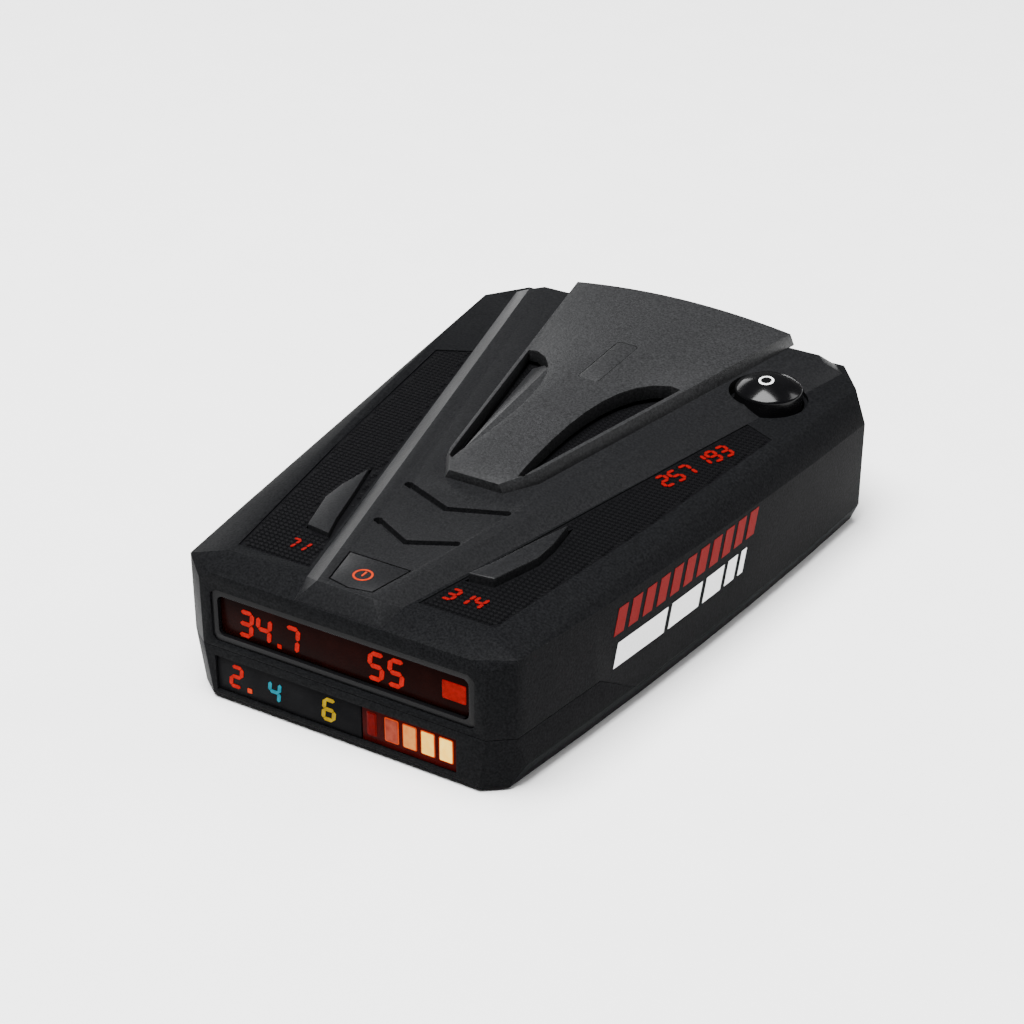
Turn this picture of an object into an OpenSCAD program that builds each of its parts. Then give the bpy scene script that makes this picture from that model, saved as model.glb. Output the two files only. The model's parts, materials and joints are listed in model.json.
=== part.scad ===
// Dashboard radar detector: a two-part case with a V-shaped top fascia, a raised hood,
// mesh strips, four press keys, a lit display and the receiver inside.
// Millimetres. X runs across, Y from the display end to the road end, Z up from the grip pad.

/* [Case] */
// Length from the display face to the road end
body_l = 117; // [115:0.5:120]
// Widest width of the case at the display end
front_w = 62; // [61:0.2:63]
// Widest width of the case at the road end
rear_w = 85.4; // [84:0.2:87]
// Width of the flat top at the display end
crest_front_w = 48; // [47:0.2:49]
// Width of the flat top at the road end
crest_rear_w = 81.4; // [80:0.2:83]
// How far each side bows out halfway along
side_bow = 1.8; // [1:0.1:2.5]
// Height of the flat top where the front bevel ends
top_front_z = 26.4; // [26:0.1:27]
// Height of the flat top at the road end
top_rear_z = 28; // [27.6:0.1:29]
// Thickness of the moulded case walls
wall = 2; // [1.8:0.1:2.2]
// Height of the case underside above the surface that the pad rests on
base_z = 0.6; // [0.5:0.1:0.8]

/* [Front end] */
// Width of the flat display face
face_w = 55; // [54:0.5:56]
// Height of the display face's top edge
face_top_z = 24.7; // [24.4:0.1:25]
// Depth of the bevel from the face up to the flat top
bevel_run = 5.2; // [4.5:0.1:6]
// Depth of the upright corner chamfers beside the face
corner_run = 3.1; // [2.8:0.1:3.4]

/* [Seam] */
// Height of the seam round the display end
seam_front_z = 10.5; // [10:0.1:11]
// Height of the seam along the rest of the case
seam_rear_z = 4.2; // [4:0.1:4.6]
// Distance from the face to where the seam starts to drop
seam_jog = 24; // [23:0.5:26]

/* [Fascia and hood] */
// Width of the V fascia at the display face
fascia_front_w = 16.8; // [16:0.2:17.6]
// Width of the V fascia at the road end
fascia_rear_w = 73; // [72:0.2:74]
// Height of the fascia over the flat top
fascia_h = 1.8; // [1.6:0.1:2]
// Width of the bevel along each edge of the fascia
fascia_bevel = 3.6; // [3:0.1:4]
// Height of the hood's rim over the fascia
hood_h = 2.1; // [1.8:0.1:2.3]
// Extra height of the hood's middle at the road end
hood_crown = 1.7; // [1.2:0.1:2]
// Distance from the face to the hood's nose
hood_nose = 41; // [40:0.5:42]

/* [Keys] */
// Diameter of the round dome button
dome_d = 12.4; // [12:0.1:12.8]
// Travel of the dome button
dome_travel = 1; // [0.8:0.1:1.2]
// Travel of the power key and of the two fin keys
key_travel = 0.6; // [0.4:0.1:0.8]
// Gap round each key
key_gap = 0.3; // [0.25:0.05:0.35]

/* [Power jack] */
// Bore of the jack, for a 3.5 mm plug
jack_bore_d = 3.8; // [3.7:0.05:3.9]
// Depth of that bore
jack_depth = 13; // [12:0.5:14]

/* [Hidden] */
$fn = 48;

front_y = -body_l / 2;
sliver = 0.01;
case_black = "#202022";
panel_black = "#151517";
board_green = "#1d5a38";
part_black = "#2a2a2c";

// ---- outlines and placing ----

// Half width at distance d behind the face, from the two end widths and the bow
function half_at(front, rear, d) =
    let (t = d / body_l) (front + (rear - front) * t) / 2 + 4 * side_bow * t * (1 - t);
function wide_half(d) = half_at(front_w, rear_w, d);
function crest_half(d) = half_at(crest_front_w, crest_rear_w, d);
function fascia_half(d) = (fascia_front_w + (fascia_rear_w - fascia_front_w) * d / body_l) / 2;
hood_shoulder = hood_nose + 6;
hood_shoulder_half = 9.4;
hood_rear_half = 24;
function hood_half(d) =
    let (t = (d - hood_shoulder) / (body_l - hood_shoulder))
    hood_shoulder_half + (hood_rear_half - hood_shoulder_half) * t;

// Heights of the flat top and of the side chamfer's lower edge
top_slope = (top_rear_z - top_front_z) / (body_l - bevel_run);
deck_tilt = atan(top_slope);
deck_z = top_front_z - bevel_run * top_slope;
function top_z(d) = deck_z + d * top_slope;
chamfer_front_z = 25.1;
chamfer_rear_z = 21;
function chamfer_z(d) = chamfer_front_z + (chamfer_rear_z - chamfer_front_z) * d / body_l;

// An outline's mirror image, and one side's points (from the bottom up) closed with theirs
function mirrored(pts) = [for (i = [len(pts) - 1 : -1 : 0]) [-pts[i].x, pts[i].y]];
function both_sides(pts) = concat(pts, mirrored(pts));

// A convex or concave outline, anticlockwise, with every edge moved outwards by g
function unit(v) = v / norm(v);
function edge_normal(a, b) = let (u = unit(b - a)) [u.y, -u.x];
function grown(pts, g) = [
    for (i = [0 : len(pts) - 1])
        let (
            before = pts[(i + len(pts) - 1) % len(pts)],
            after = pts[(i + 1) % len(pts)],
            n = edge_normal(before, pts[i]),
            m = edge_normal(pts[i], after)
        )
        pts[i] + g * (n + m) / (1 + n * m)
];

// Cubic curve through steps points
function bezier(a, b, c, e, steps) = [
    for (i = [0 : steps])
        let (t = i / steps, s = 1 - t)
        s * s * s * a + 3 * s * s * t * b + 3 * s * t * t * c + t * t * t * e
];

// Moves a shape drawn over (x, distance behind the face) onto the sloping flat top
module on_deck() {
    translate([0, front_y, deck_z]) rotate([deck_tilt, 0, 0]) children();
}

module prism(pts, low, high) {
    translate([0, 0, low]) linear_extrude(high - low) polygon(pts);
}

module box(x, y, z) {
    translate([x[0], y[0], z[0]]) cube([x[1] - x[0], y[1] - y[0], z[1] - z[0]]);
}

// ---- case ----

bottom_inset = 1.5;
rear_face_half = 35.5;
rear_corner = body_l - 7.5;

// Thin upright section of the case at distance d
module case_section(d, crest, crest_z, wide, wide_z, low_z, inset) {
    translate([0, front_y + d + sliver / 2, 0])
        rotate([90, 0, 0])
            linear_extrude(sliver)
                polygon(both_sides([
                    [wide - bottom_inset - inset, base_z + inset],
                    [wide - inset, max(low_z, base_z + inset + 0.5)],
                    [wide - inset, wide_z - inset / 2],
                    [crest - inset / 2, crest_z - inset]
                ]));
}

// The whole case as one convex form, or the cavity in it when inset is the wall
module case_form(inset) {
    step = 17;
    hull() {
        case_section(inset, face_w / 2 - 2.6, face_top_z, face_w / 2, 23.1, seam_front_z, inset);
        case_section(
            corner_run + inset, crest_half(0), top_front_z - 1, wide_half(corner_run), 25,
            seam_front_z, inset
        );
        for (d = [bevel_run + inset : step : rear_corner - step / 2])
            case_section(d, crest_half(d), top_z(d), wide_half(d), chamfer_z(d), seam_rear_z, inset);
        case_section(
            rear_corner - inset, crest_half(rear_corner), top_z(rear_corner),
            wide_half(rear_corner), chamfer_z(rear_corner), seam_rear_z, inset
        );
        case_section(
            body_l - inset, rear_face_half - 1.2, top_rear_z, rear_face_half, 25, seam_rear_z, inset
        );
    }
}

// Everything below the seam, moved down by gap
module below_seam(gap) {
    far = body_l + 5;
    translate([-60, 0, 0])
        rotate([90, 0, 90])
            linear_extrude(120)
                translate([front_y, -gap])
                    polygon([
                        [-5, -5], [far, -5], [far, seam_rear_z], [seam_jog + 10, seam_rear_z - 0.2],
                        [seam_jog, seam_front_z], [-5, seam_front_z]
                    ]);
}

// Display and bar openings in the front end, as [x range, z range]
display_x = [-25.5, 25.5];
display_z = [11.7, 21.7];
strip_x = [-25.3, 3.7];
bars_x = [3.7, 22];
strip_z = [1.9, 8.7];
rear_window_x = [-27, 27];
rear_window_z = [7.5, 20.5];

// Mesh strip on the right of the fascia, as seen from the display end
mesh_front = 7.5;
mesh_rear = 84;
mesh_outline = [
    [fascia_half(mesh_front) + 0.4, mesh_front],
    [crest_half(mesh_front) - 0.8, mesh_front],
    [crest_half(45) - 1.6, 45],
    [crest_half(mesh_rear) - 2.2, mesh_rear],
    [fascia_half(mesh_rear) + 0.4, mesh_rear + 3]
];
mesh_t = 0.9;

// Fin keys, boomerangs: the right one stands up, the left one is nearly level with its mesh
fin_outline = [
    [13.6, 17.3], [18.2, 17.9], [20.9, 27], [20.9, 32], [20, 38.6], [17.6, 30.6], [15.2, 21.8]
];
fin_right_h = 1.3;
fin_left_h = 0.5;

// Power key in the fascia's nose
key_outline = [[-4, 4.2], [0, 3.4], [4, 4.2], [5.7, 12.3], [-5.7, 12.3]];
dome_at = [28, 97.6];
// Where the dome's straight side ends and its cap begins
dome_side_h = 2.4;
dome_rise = 2.2;
dome_bore_d = dome_d + 0.8;
dome_ring_d = 14.6;
flange = 0.9;

// Crescent opening in the hood, right side
crescent_front = 44.5;
crescent_rear = 86;
crescent = concat(
    [[hood_half(crescent_front) - 1.4, crescent_front + 0.6]],
    [[hood_half(crescent_rear) - 1.6, crescent_rear]],
    bezier([14, 86], [5, 82], [4.2, 66], [6.6, crescent_front], 9)
);
vent_outline = [[-6.6, 46.5], [6.6, 46.5], [15.2, 86.5], [-15.2, 86.5]];

boss_spots = [[-24, 17], [24, 17], [-35, 84], [35, 84]];
boss_d = 5.4;
screw_d = 2.4;
jack_y = front_y + 62;
jack_z = 12.5;
jack_face_x = -38;

module at_bosses() {
    for (p = boss_spots) translate([p.x, front_y + p.y, 0]) children();
}

module upper_shell() {
    color(case_black)
        union() {
            difference() {
                case_form(0);
                case_form(wall);
                below_seam(0);
                box(display_x, [front_y - 1, front_y + 6], display_z);
                box(rear_window_x, [-front_y - 6, -front_y + 1], rear_window_z);
                on_deck() {
                    for (outline = [mesh_outline, mirrored(mesh_outline)])
                        prism(grown(outline, 0.1), -mesh_t - 0.1, 1);
                    for (outline = [fin_outline, mirrored(fin_outline)])
                        prism(grown(outline, key_gap), -5, 1);
                    prism(grown(key_outline, key_gap), -5, 1);
                    translate([0, speaker_at, -5]) cylinder(h = 8, d = 17);
                    translate([dome_at.x, dome_at.y, -5]) cylinder(h = 8, d = dome_bore_d);
                    translate([dome_at.x, dome_at.y, -0.8]) cylinder(h = 3, d = dome_ring_d);
                }
                translate([-50, jack_y, jack_z]) rotate([0, 90, 0]) cylinder(h = 20, d = 8);
            }
            // screw bosses
            difference() {
                for (p = boss_spots)
                    translate([p.x, front_y + p.y, 7]) cylinder(h = top_z(p.y) - 8.3, d = boss_d);
                at_bosses() translate([0, 0, 6]) cylinder(h = 12, d = screw_d - 0.4);
            }
            // posts that hold the key board
            on_deck()
                for (x = [-12, 12])
                    translate([x, 43, key_board_h[1]])
                        difference() {
                            cylinder(h = -key_board_h[1] - 1.3, d = 4.4);
                            translate([0, 0, -1]) cylinder(h = 6, d = 1.8);
                        }
        }
}

module lower_shell() {
    color(case_black)
        difference() {
            union() {
                difference() {
                    intersection() {
                        case_form(0);
                        below_seam(0.1);
                    }
                    case_form(wall);
                }
                // bosses round the case screws and posts under the main board
                at_bosses() translate([0, 0, base_z]) cylinder(h = 6.2, d = boss_d);
                for (p = board_posts)
                    translate([p.x, front_y + p.y, base_z]) cylinder(h = board_z - base_z, d = 4.4);
            }
            at_bosses() {
                cylinder(h = 20, d = screw_d + 0.4);
                translate([0, 0, -1]) cylinder(h = 1 + base_z + 2.4, d = 5);
            }
            for (p = board_posts) translate([p.x, front_y + p.y, 2.6]) cylinder(h = 9, d = 1.6);
            box(strip_x, [front_y - 1, front_y + 4], strip_z);
            box(bars_x, [front_y - 1, front_y + 4], strip_z);
            box(pad_x, [front_y + pad_d[0], front_y + pad_d[1]], [-1, base_z + 0.8]);
            translate([0, front_y - 0.1, 0]) rotate([45, 0, 0]) cube([70, 1.6, 1.6], center = true);
        }
}

pad_x = [-24, 24];
pad_d = [30, 84];

module grip_pad() {
    color("#18181a") box(pad_x + [0.2, -0.2], [front_y + pad_d[0] + 0.2, front_y + pad_d[1] - 0.2],
        [0, base_z + 0.8]);
}

module case_screws() {
    color("silver")
        at_bosses() {
            translate([0, 0, base_z + 0.6]) cylinder(h = 1.8, d = 4.4);
            translate([0, 0, base_z + 2]) cylinder(h = 13, d = screw_d - 0.4);
        }
}

// ---- fascia and hood ----

prow_half = 8.3;

function fascia_outline(inset, front, rear) = both_sides([
    [fascia_half(front) - inset, front], [fascia_half(rear - 2.5) - inset, rear - 2.5],
    [33.4 - inset, rear]
]);

module centre_fascia() {
    color(case_black)
        difference() {
            difference() {
                // the prow drops over the front bevel to the top of the display face
                hull() {
                    on_deck() prism(fascia_outline(0, bevel_run, body_l - 0.5), -0.3, -0.2);
                    on_deck()
                        prism(fascia_outline(fascia_bevel, 2.4, body_l - 1.6), fascia_h - 0.1, fascia_h);
                    translate([0, front_y, face_top_z])
                        prism([[-prow_half, 0.2], [prow_half, 0.2], [9, 4], [-9, 4]], 0.06, 0.16);
                }
                case_form(0);
            }
            on_deck() {
                prism(grown(key_outline, key_gap), -5, 5);
                prism(grown(vent_outline, 1), -1, 5);
                translate([dome_at.x, dome_at.y, -5]) cylinder(h = 9, d = dome_ring_d);
                chevron(7.6, 18.5, 3.9);
                chevron(9.7, 31, 3.9);
            }
        }
}

// Groove in the fascia: two strokes with round ends that meet in a point towards the display end
module chevron(half, tip, rise) {
    stroke = 1.6;
    low = fascia_h - 1.3;
    high = fascia_h + 1;
    stroke_outline = [[0, tip], [half, tip + rise], [half, tip + rise + stroke], [0, tip + stroke]];
    for (outline = [stroke_outline, mirrored(stroke_outline)]) prism(outline, low, high);
    for (side = [-1, 1])
        translate([side * half, tip + rise + stroke / 2, low]) cylinder(h = high - low, d = stroke);
}

// Thin upright section of the hood at distance d, arched by crown
module hood_section(d, half, rim, crown) {
    translate([0, d + sliver / 2, fascia_h])
        rotate([90, 0, 0])
            linear_extrude(sliver)
                polygon(concat(
                    [[-half, 0], [half, 0]],
                    [for (t = [1 : -0.125 : -1]) [t * (half - 0.9), rim + crown * (1 - t * t)]]
                ));
}

module hood_form() {
    hull() {
        hood_section(hood_nose, 5.8, hood_h - 0.5, 0);
        hood_section(hood_shoulder, hood_half(hood_shoulder), hood_h, 0.1);
        for (d = [64, 82, 100])
            hood_section(d, hood_half(d), hood_h, hood_crown * (d - 45) / (body_l - 45));
        hood_section(body_l - 0.2, hood_half(body_l), hood_h, hood_crown);
    }
}

module hood_cover() {
    color(case_black)
        on_deck()
            difference() {
                hood_form();
                for (outline = [crescent, mirrored(crescent)]) prism(outline, 0, 9);
                prism(grown(sensor_outline, 0.1), fascia_h + 1.4, 9);
                // hollow over the speaker
                prism([[-4, 50], [4, 50], [4, 80], [-4, 80]], 0, fascia_h + 0.9);
            }
}

// Mesh under the right and left openings, in the fascia's vent
module hood_mesh() {
    color(panel_black) on_deck() prism(grown(vent_outline, 0.8), 0.2, 1);
}

// Smooth louvre in the left opening: it falls from the hood's middle to a slot at the outer edge
module hood_louvre() {
    low = 1.1;
    ridge = [[4, 47], [6.2, 47], [9.5, 84], [4, 84]];
    foot = [[4, 47], [6.6, 47], [13.9, 84], [4, 84]];
    color(case_black)
        on_deck()
            intersection() {
                hull() {
                    prism(mirrored(ridge), low, fascia_h + hood_h - 0.1);
                    prism(mirrored(foot), low, low + 0.4);
                }
                prism(grown(mirrored(crescent), -0.15), low, 5);
            }
}

// Sensor cover in the hood's crown: a rectangle with round corners
sensor_half = [2.1, 7.75];
sensor_d = 87.75;
sensor_r = 0.8;
sensor_outline = [
    for (corner = [[1, 1, 0], [-1, 1, 90], [-1, -1, 180], [1, -1, 270]], a = [0 : 30 : 90])
        [
            corner.x * (sensor_half.x - sensor_r) + sensor_r * cos(corner.z + a),
            sensor_d + corner.y * (sensor_half.y - sensor_r) + sensor_r * sin(corner.z + a)
        ]
];

module sensor_cover() {
    color(panel_black)
        on_deck()
            intersection() {
                hood_form();
                prism(sensor_outline, fascia_h + 1.5, 9);
            }
}

module mesh_panel(outline, fin) {
    color(panel_black)
        on_deck()
            difference() {
                prism(outline, -mesh_t, -0.2);
                prism(grown(fin, key_gap), -5, 1);
            }
}

module mesh_panel_left() {
    mesh_panel(mirrored(mesh_outline), mirrored(fin_outline));
}

module mesh_panel_right() {
    mesh_panel(mesh_outline, fin_outline);
}

// ---- display end ----

module display_bezel() {
    rim = 1.2;
    color(panel_black)
        difference() {
            box(display_x + [0.1, -0.1], [front_y + 0.3, front_y + 2.6], display_z + [0.1, -0.1]);
            box(display_x + [rim, -rim], [front_y - 1, front_y + 5], display_z + [rim, -rim]);
        }
}

module display_window() {
    rim = 1.3;
    color("#260605")
        box(display_x + [rim, -rim], [front_y + 1, front_y + 2.4], display_z + [rim, -rim]);
}

module indicator_strip() {
    color(panel_black)
        box(strip_x + [0.1, -0.1], [front_y + 0.4, front_y + 1.8], strip_z + [0.1, -0.1]);
}

module bar_window() {
    color("#5a0f0a")
        box(bars_x + [0.1, -0.1], [front_y + 0.5, front_y + 1.8], strip_z + [0.1, -0.1]);
}

display_board_d = 7.4;

module display_board() {
    color(board_green)
        box([-24, 24], [front_y + display_board_d, front_y + display_board_d + 1.2], [3, 21.5]);
}

module display_module() {
    color(part_black)
        box([-23, 23], [front_y + 3.4, front_y + display_board_d], [12.6, 20.4]);
}

bar_pitch = 3.5;

module bar_leds() {
    color("orange")
        for (i = [0 : 4])
            translate([5 + bar_pitch * i, front_y + 4.2, 4.2])
                cube([2.8, display_board_d - 4.2, 3.6]);
}

module indicator_leds() {
    color("white")
        for (x = [-20.6, -13.4, -2.5])
            translate([x - 1, front_y + 4.2, 4.4]) cube([2, display_board_d - 4.2, 2]);
}

// ---- keys ----

// Flange below each key, which keeps it in its hole
flange_h = [-3.2, -2.3];
power_stem_d = 11;

module power_key() {
    color(case_black)
        on_deck() {
            prism(key_outline, -2.5, fascia_h);
            prism([[-6.6, 8.4], [6.6, 8.4], [6.6, 13.2], [-6.6, 13.2]], flange_h[0], flange_h[1]);
            translate([0, power_stem_d, switch_top + key_travel + 0.1])
                cylinder(h = flange_h[0] - switch_top - key_travel, d = 3);
        }
}

module fin_key(outline, x, height) {
    color(case_black)
        on_deck() {
            prism(outline, -2.5, height);
            prism(grown(outline, flange), flange_h[0], flange_h[1]);
            translate([x, fin_stem_d, switch_top + key_travel + 0.1])
                cylinder(h = flange_h[0] - switch_top - key_travel, d = 2);
        }
}

fin_stem_x = 18.4;
fin_stem_d = 26;

module fin_key_left() {
    fin_key(mirrored(fin_outline), -fin_stem_x, fin_left_h);
}

module fin_key_right() {
    fin_key(fin_outline, fin_stem_x, fin_right_h);
}

// Round button: a skirt and a domed cap turned in one piece, on a stem
module dome_button() {
    cap_r = dome_d / 2;
    ball_r = (cap_r * cap_r + dome_rise * dome_rise) / (2 * dome_rise);
    steps = 8;
    reach = asin(cap_r / ball_r);
    color("black")
        on_deck()
            translate([dome_at.x, dome_at.y, 0]) {
                rotate_extrude()
                    polygon(concat(
                        [
                            [0, flange_h[0]], [cap_r + flange, flange_h[0]],
                            [cap_r + flange, flange_h[1]], [cap_r, flange_h[1]], [cap_r, dome_side_h]
                        ],
                        [
                            for (i = [1 : steps])
                                let (a = reach * (1 - i / steps))
                                [ball_r * sin(a), dome_side_h + dome_rise - ball_r * (1 - cos(a))]
                        ]
                    ));
                translate([0, 0, switch_top + dome_travel + 0.1])
                    cylinder(h = flange_h[0] - switch_top - dome_travel, d = 3);
            }
}

// ---- key board and switches ----

key_board_h = [-8.8, -7.6];
switch_top = -5.2;

module key_board() {
    color(board_green)
        on_deck()
            difference() {
                prism(
                    [[-21, 9], [21, 9], [23, 50], [32, 90], [32, 101], [25, 101], [21, 60], [12, 48],
                        [-18, 48]],
                    key_board_h[0], key_board_h[1]
                );
                for (x = [-12, 12]) translate([x, 43, -10]) cylinder(h = 4, d = 2.2);
                for (p = boss_spots) translate([p.x, p.y, -12]) cylinder(h = 8, d = boss_d + 1);
            }
}

module key_board_screws() {
    color("silver")
        on_deck()
            for (x = [-12, 12]) {
                translate([x, 43, key_board_h[0] - 1.2]) cylinder(h = 1.2, d = 3.4);
                translate([x, 43, key_board_h[0] - 0.2]) cylinder(h = 4.5, d = 1.5);
            }
}

// Push switch: a square case with a round plunger
module push_switch(x, d) {
    color(part_black)
        on_deck()
            translate([x, d, key_board_h[1]]) {
                translate([-1.9, -1.9, 0]) cube([3.8, 3.8, 1.5]);
                cylinder(h = switch_top - key_board_h[1], d = 2.2);
            }
}

module power_switch() {
    push_switch(0, power_stem_d);
}

module dome_switch() {
    push_switch(dome_at.x, dome_at.y);
}

module fin_switch_left() {
    push_switch(-fin_stem_x, fin_stem_d);
}

module fin_switch_right() {
    push_switch(fin_stem_x, fin_stem_d);
}

// Flat cable from the key board down to the main board
module ribbon_cable() {
    t = 0.3;
    color("ivory")
        translate([-10, front_y + 48.2, 0])
            rotate([90, 0, 90])
                linear_extrude(9)
                    polygon([
                        [-1.5, 17.7], [1, 17.7], [3.4, 14], [3.4, board_top + 1], [1, board_top + t],
                        [-2, board_top + t], [-2, board_top], [1.2, board_top],
                        [3.4 + t, board_top + 0.9], [3.4 + t, 14.2], [1.2, 17.7 + t], [-1.5, 17.7 + t]
                    ]);
}

// ---- receiver ----

board_z = 6.2;
board_t = 1.6;
board_top = board_z + board_t;
board_posts = [[-15, 24], [15, 24], [-26, 86], [26, 86]];

module main_board() {
    color(board_green)
        difference() {
            translate([0, front_y, board_z])
                linear_extrude(board_t)
                    polygon([[-26, 12], [26, 12], [36, 90], [34, 106], [-34, 106], [-36, 90]]);
            at_bosses() translate([0, 0, board_z - 1]) cylinder(h = 5, d = boss_d + 0.6);
            for (p = board_posts)
                translate([p.x, front_y + p.y, board_z - 1]) cylinder(h = 5, d = 2.2);
        }
}

module board_screws() {
    color("silver")
        for (p = board_posts)
            translate([p.x, front_y + p.y, 0]) {
                translate([0, 0, board_top]) cylinder(h = 1.2, d = 3.6);
                translate([0, 0, 3.2]) cylinder(h = board_top - 3, d = 1.5);
            }
}

module board_header() {
    color(part_black)
        box([-8, 8], [front_y + display_board_d + 1.2, front_y + 16], [board_top, board_top + 2.4]);
}

horn_throat = 60;
horn_mouth = 110;
horn_t = 1;
horn_z = [board_top + 0.4, board_top + 11.6];

module antenna_horn() {
    color("silver")
        translate([0, front_y, 0])
            difference() {
                prism(
                    [[-7, horn_throat], [7, horn_throat], [20, horn_mouth], [-20, horn_mouth]],
                    horn_z[0], horn_z[1]
                );
                prism(
                    [
                        [-7 + horn_t, horn_throat + horn_t], [7 - horn_t, horn_throat + horn_t],
                        [20 - horn_t, horn_mouth + 1], [-20 + horn_t, horn_mouth + 1]
                    ],
                    horn_z[0] + horn_t, horn_z[1] - horn_t
                );
            }
}

module mixer_can() {
    color("gainsboro") box([-10, 10], [front_y + 53, front_y + horn_throat], [board_top, 15.4]);
}

module laser_receiver() {
    color(part_black) {
        box([22, 30], [front_y + 98, front_y + 104], [board_top, 16]);
        translate([26, front_y + 104, 12]) rotate([-90, 0, 0]) cylinder(h = 3, d = 6);
    }
}

module rear_window() {
    color("#160d12")
        box(rear_window_x + [0.1, -0.1], [-front_y - 2.4, -front_y - 0.6],
            rear_window_z + [0.1, -0.1]);
}

speaker_at = 70;

module speaker() {
    color(part_black)
        on_deck()
            translate([0, speaker_at, -6.4]) {
                cylinder(h = 2, d = 12);
                translate([0, 0, 1.8]) cylinder(h = 1.8, d = 22);
            }
}

module speaker_gasket() {
    color("#303030")
        on_deck()
            translate([0, speaker_at, -2.8])
                difference() {
                    cylinder(h = 0.7, d = 22);
                    translate([0, 0, -1]) cylinder(h = 3, d = 18);
                }
}

module processor_chip() {
    color(part_black) box([-6, 6], [front_y + 28, front_y + 40], [board_top, board_top + 1.4]);
}

module capacitors() {
    color("#303a60")
        for (x = [-24, -17])
            translate([x, front_y + 40, board_top]) cylinder(h = 7, d = 6);
}

module voltage_regulator() {
    color(part_black) box([-30, -23], [front_y + 70, front_y + 76], [board_top, board_top + 2.2]);
}

// Socket on the left side for the power cord's plug
module power_jack() {
    color(part_black)
        difference() {
            union() {
                translate([jack_face_x, jack_y, jack_z]) rotate([0, 90, 0]) cylinder(h = 4, d = 7.6);
                box([jack_face_x + 3, jack_face_x + 15], [jack_y - 4.4, jack_y + 4.4],
                    [board_top, jack_z + 4.6]);
            }
            translate([jack_face_x - 1, jack_y, jack_z])
                rotate([0, 90, 0]) cylinder(h = jack_depth + 1, d = jack_bore_d);
        }
}

upper_shell();
lower_shell();
centre_fascia();
hood_cover();
hood_mesh();
hood_louvre();
mesh_panel_left();
mesh_panel_right();
display_bezel();
display_window();
indicator_strip();
bar_window();
power_key();
dome_button();
fin_key_left();
fin_key_right();
sensor_cover();
rear_window();
power_jack();
grip_pad();
case_screws();
main_board();
board_screws();
display_board();
display_module();
bar_leds();
indicator_leds();
board_header();
key_board();
key_board_screws();
power_switch();
dome_switch();
fin_switch_left();
fin_switch_right();
ribbon_cable();
antenna_horn();
mixer_can();
laser_receiver();
speaker();
speaker_gasket();
processor_chip();
capacitors();
voltage_regulator();
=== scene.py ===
import bpy
import bmesh
import json
import math
from mathutils import Matrix, Vector
from mathutils.bvhtree import BVHTree


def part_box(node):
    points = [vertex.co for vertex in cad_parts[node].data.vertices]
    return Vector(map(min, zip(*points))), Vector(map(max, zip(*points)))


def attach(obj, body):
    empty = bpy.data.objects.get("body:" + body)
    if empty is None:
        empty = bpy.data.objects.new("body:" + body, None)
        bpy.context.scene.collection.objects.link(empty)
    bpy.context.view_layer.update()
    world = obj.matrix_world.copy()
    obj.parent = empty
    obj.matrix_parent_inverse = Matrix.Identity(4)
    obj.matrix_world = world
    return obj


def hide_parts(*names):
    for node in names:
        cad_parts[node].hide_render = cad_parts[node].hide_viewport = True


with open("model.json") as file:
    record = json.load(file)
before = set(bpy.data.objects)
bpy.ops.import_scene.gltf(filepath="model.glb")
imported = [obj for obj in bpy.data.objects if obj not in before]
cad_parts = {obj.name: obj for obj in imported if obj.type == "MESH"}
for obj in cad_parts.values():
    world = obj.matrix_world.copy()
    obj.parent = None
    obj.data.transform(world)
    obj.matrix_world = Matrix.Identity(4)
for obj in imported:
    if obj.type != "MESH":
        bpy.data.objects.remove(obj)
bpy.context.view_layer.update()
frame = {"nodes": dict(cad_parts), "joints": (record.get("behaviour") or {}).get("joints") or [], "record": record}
print("frame loaded:", len(frame["nodes"]), "nodes")

mm = 0.001

# the flat top: its slope comes from the keys' press direction, its height from the power key's top
pressAxis = Vector(frame["joints"][0]["axis"])
deckUp = -pressAxis
deckBack = Vector((0, deckUp.z, -deckUp.y))
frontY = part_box("upper_shell")[0].y
fasciaHeight = 1.8
keyTop = max(v.co.dot(deckUp) for v in frame["nodes"]["power_key"].data.vertices)
deckOrigin = Vector((0, frontY, 0))
deckOrigin += deckUp * (keyTop - fasciaHeight * mm - deckOrigin.dot(deckUp))
deckTilt = math.atan2(deckBack.z, deckBack.y)


def onDeck(x, back, height):
    return deckOrigin + Vector((x * mm, 0, 0)) + deckBack * (back * mm) + deckUp * (height * mm)


def deselectAll():
    if bpy.context.mode != "OBJECT":
        bpy.ops.object.mode_set(mode="OBJECT")
    bpy.ops.object.select_all(action="DESELECT")


def takeHold(piece):
    deselectAll()
    piece.select_set(True)
    bpy.context.view_layer.objects.active = piece


def startEdit(piece, mode="EDGE"):
    takeHold(piece)
    bpy.ops.object.mode_set(mode="EDIT")
    bpy.ops.mesh.select_mode(type=mode)
    bpy.ops.mesh.select_all(action="DESELECT")
    return bmesh.from_edit_mesh(piece.data)


def copyOfNode(node, name):
    # a merged copy of a CAD solid with its flat faces made whole, ready for edge work
    piece = bpy.data.objects.new(name, frame["nodes"][node].data.copy())
    bpy.context.scene.collection.objects.link(piece)
    piece.data.materials.clear()
    startEdit(piece)
    bpy.ops.mesh.select_all(action="SELECT")
    bpy.ops.mesh.customdata_custom_splitnormals_clear()
    bpy.ops.mesh.remove_doubles(threshold=0.002 * mm)
    bpy.ops.mesh.dissolve_limited(angle_limit=math.radians(0.4))
    bpy.ops.object.mode_set(mode="OBJECT")
    return piece


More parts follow.
